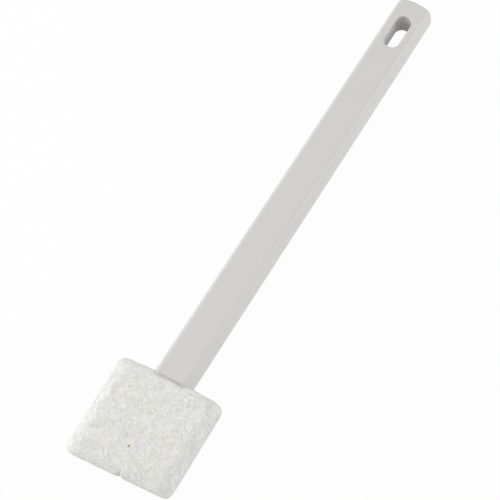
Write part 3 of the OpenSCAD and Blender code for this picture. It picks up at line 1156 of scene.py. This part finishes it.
def part_round_pinhole(mesh):
    """Moves the fibres aside where the pinhole goes in, as a needle does."""
    points = mesh_points(mesh)
    offset = points[:, :2] - np.array([pinhole_at.x, pinhole_at.y])
    distance = np.maximum(np.linalg.norm(offset, axis=1), 1e-6)
    push = np.clip(part_reach - distance, 0, None) * part_share * (points[:, 2] > mid_z)
    points[:, :2] += offset / distance[:, None] * push[:, None]
    set_points(mesh, points)


for name, side, seed in (("fibres_front", 1.0, 3), ("fibres_back", -1.0, 4)):
    piece = grow(name, skin_mesh, fibre_tree, strand_finish, Side=side, Seed=seed,
                 Middle_Height=float(mid_z))
    part_round_pinhole(piece.data)

# %% [markdown]
# ## The back seam
# The sheet's two ends meet on the back, and slanting stitches hold them together. A stitch is
# one short arched thread, and the seam is a row of them, so a small Geometry Nodes tree makes
# the arch once and places it at even steps along a line.

# %% The stitch tree
stitch_inputs = {"Stitches": 9, "Stitch Length": 0.0042, "Arch": 0.0003, "Thread Radius": 0.00034,
                 "Slant": 0.4}
stitch_points = 9
stitch_sides = 10

stitch_tree, inputs, group_out = geometry_tree("slanted_stitches", stitch_inputs)
tree = stitch_tree
path = new_node(tree, "GeometryNodeMeshToCurve")
link(tree, inputs["Geometry"], path.inputs[0])
steps = resample(tree, path.outputs[0], inputs["Stitches"])
arch = new_node(tree, "GeometryNodeCurveQuadraticBezier")
arch.inputs["Resolution"].default_value = stitch_points
for label, share, drop in (("Start", -0.5, 0.5), ("Middle", 0, -2), ("End", 0.5, 0.5)):
    place = combine_xyz(tree, math_node(tree, "MULTIPLY", inputs["Stitch Length"], share), 0,
                        math_node(tree, "MULTIPLY", inputs["Arch"], drop))
    link(tree, place, arch.inputs[label])
stitch = round_tube(tree, arch.outputs[0], inputs["Thread Radius"], stitch_sides)
row = new_node(tree, "GeometryNodeInstanceOnPoints")
link(tree, steps, row.inputs["Points"])
link(tree, stitch, row.inputs["Instance"])
link(tree, combine_xyz(tree, z=inputs["Slant"]), row.inputs["Rotation"])
hand_out(tree, row.outputs[0], thread_finish, group_out)

# %% Sew the seam
stitch_margin = 5 * MM
stitch_slant = math.radians(22)
stitch_height = 0.75 * MM
seam_ends = [(0, pinch_l - head_l + stitch_margin, 0), (0, -side_round - stitch_margin / 2, 0)]
seam_line = bpy.data.meshes.new("seam_line")
ends = head_to_frame(np.array(seam_ends))
ends[:, 2] = cover_lo.z + stitch_height
seam_line.from_pydata([tuple(p) for p in ends], [(0, 1)], [])
stitching = grow("seam_stitches", seam_line, stitch_tree, thread_finish,
                 Slant=head_turn + stitch_slant)
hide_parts("seam_thread")

# %% [markdown]
# Where the handle leaves the cover, the sheet's cut edge is ragged, and a few fibres lie over
# the handle's face. The same fibre tree makes them, from a narrow strip on that face.

# %% Fibres over the handle's edge
edge_back = 3.2 * MM
edge_y = neck_y - edge_back
edge_margin = 1.2 * MM
edge_rows = (-3 * MM, -0.5 * MM, 0.3 * MM, 1.5 * MM)
edge_rise = 0.05 * MM
strip_half = handle_half_w - roll_in + edge_margin
strip = bpy.data.meshes.new("edge_strip")
corners = []
for i, reach in enumerate(edge_rows):
    z = handle_top_z + (2 * edge_rise if i in (1, 2) else 0)
    corners += [(-strip_half, edge_y + reach, z), (strip_half, edge_y + reach, z)]
strip.from_pydata(corners, [], [(2 * i, 2 * i + 1, 2 * i + 3, 2 * i + 2) for i in range(3)])
edge_fibres = grow("fibres_edge", strip, fibre_tree, strand_finish, Density=6.0e6, Length=0.0026,
                   Lift=0.0005, Middle_Height=float(handle_top_z + 1.5 * edge_rise), Seed=9)
